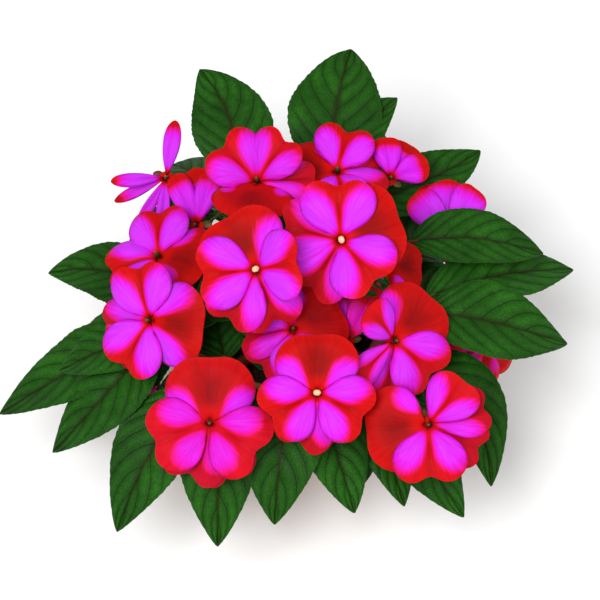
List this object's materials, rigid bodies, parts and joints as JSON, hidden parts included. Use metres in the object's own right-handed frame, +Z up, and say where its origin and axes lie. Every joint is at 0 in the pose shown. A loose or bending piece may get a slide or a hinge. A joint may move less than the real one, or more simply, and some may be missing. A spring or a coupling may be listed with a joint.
{
  "type": "potted new guinea impatiens",
  "caption": "Bushy flowering plant with toothed pointed leaves and flat two-coloured blooms, growing in soil in a round clay pot.",
  "frame": {"origin": "centre of the flat underside of the pot", "axes": "+Z up; the plant shows its best side towards -Y, and +X is to the right seen from there"},
  "size_m": [0.3234, 0.2823, 0.228],
  "materials": {
    "clay": "dry matt terracotta with pale bloom and fine wheel marks",
    "soil": "crumbly damp potting mix",
    "leaf": "satin leaf with sunk side veins and a reddish midrib; stems and stalks reddish green",
    "petal": "velvety petals, scarlet margins and wedges around violet-magenta patches",
    "anther_cap": "waxy cream-white",
    "ovary": "smooth dark green"
  },
  "bodies": {
    "root": {"pot": "clay", "soil": "soil", "stem_back_left": "leaf", "stem_back": "leaf", "stem_back_right": "leaf", "stem_right": "leaf", "stem_front_right": "leaf", "stem_front": "leaf", "stem_front_left": "leaf", "stem_left": "leaf", "stem_middle": "leaf", "bloom_01": "petal", "eye_01": "ovary", "bloom_02": "petal", "eye_02": "anther_cap", "bloom_03": "petal", "eye_03": "ovary", "bloom_04": "petal", "eye_04": "ovary", "bloom_05": "petal", "eye_05": "anther_cap", "bloom_06": "petal", "eye_06": "anther_cap", "bloom_07": "petal", "eye_07": "ovary", "bloom_08": "petal", "eye_08": "ovary", "bloom_09": "petal", "eye_09": "ovary", "bloom_10": "petal", "eye_10": "anther_cap", "bloom_11": "petal", "eye_11": "ovary", "bloom_12": "petal", "eye_12": "ovary", "bloom_13": "petal", "eye_13": "ovary", "bloom_14": "petal", "eye_14": "ovary", "bloom_15": "petal", "eye_15": "ovary", "bloom_16": "petal", "eye_16": "ovary", "bloom_17": "petal", "eye_17": "ovary", "bloom_18": "petal", "eye_18": "ovary", "bloom_19": "petal", "eye_19": "anther_cap", "bloom_20": "petal", "eye_20": "ovary", "bud_01": "petal", "bud_02": "petal"}
  },
  "joints": []
}
